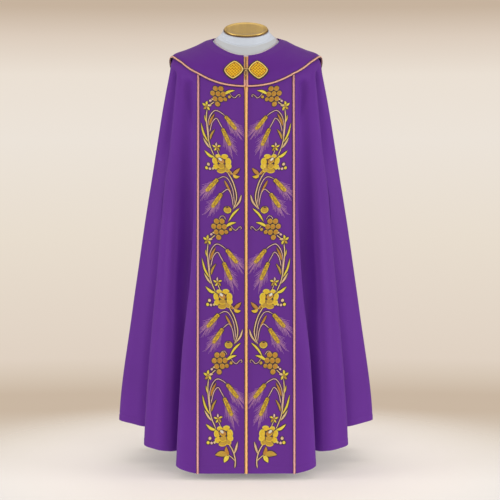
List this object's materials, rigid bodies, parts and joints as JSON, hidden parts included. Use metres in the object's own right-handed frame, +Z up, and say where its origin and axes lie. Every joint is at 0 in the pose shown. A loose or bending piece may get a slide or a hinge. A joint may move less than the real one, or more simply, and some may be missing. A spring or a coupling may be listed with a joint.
{
  "type": "cope vestment on dress form",
  "caption": "Long semicircular cope with piped front bands, cape collar, back hood and clasp, hanging in deep rolls over a limbless dress form.",
  "frame": {"origin": "centre of the footprint's box, on the surface the form's base stands on", "axes": "+Z up, -Y is the garment's front, +X the wearer's left"},
  "size_m": [0.886, 0.6576, 1.5159],
  "materials": {
    "mantle_cloth": "smooth purple satin-backed cloth with a soft sheen",
    "band_cloth": "smooth purple cloth under embroidery",
    "collar_cloth": "smooth purple cloth, dark underside",
    "cloth_underside": "dark violet reverse of the cloth",
    "side_piping": "salmon and gold satin cord",
    "centre_piping": "gold satin cord",
    "collar_piping": "salmon and gold satin cord",
    "clasp_gold_work": "raised metal-thread gold work",
    "embroidery_gold": "satin stitch in yellow, gold and ochre thread",
    "embroidery_stem": "stem stitch in pale gold thread",
    "embroidery_awn": "fine single stitches in pinkish thread",
    "hook_metal": "old-gold metal",
    "form_jersey": "pale blue-white stretched jersey",
    "form_cap": "satin brass",
    "form_enamel": "pale enamel"
  },
  "bodies": {
    "root": {"mantle_left": "mantle_cloth", "mantle_right": "mantle_cloth", "front_band_left": "band_cloth", "front_band_right": "band_cloth", "hood_collar": "collar_cloth", "piping_side_left": "side_piping", "piping_side_right": "side_piping", "piping_centre_left": "centre_piping", "piping_centre_right": "centre_piping", "piping_collar": "collar_piping", "clasp_left": "clasp_gold_work", "clasp_right": "clasp_gold_work", "clasp_hook": "hook_metal", "clasp_eye": "hook_metal", "form_torso": "form_jersey", "form_neck_cap": "form_cap", "form_pole": "form_enamel", "form_base": "form_enamel"}
  },
  "joints": []
}
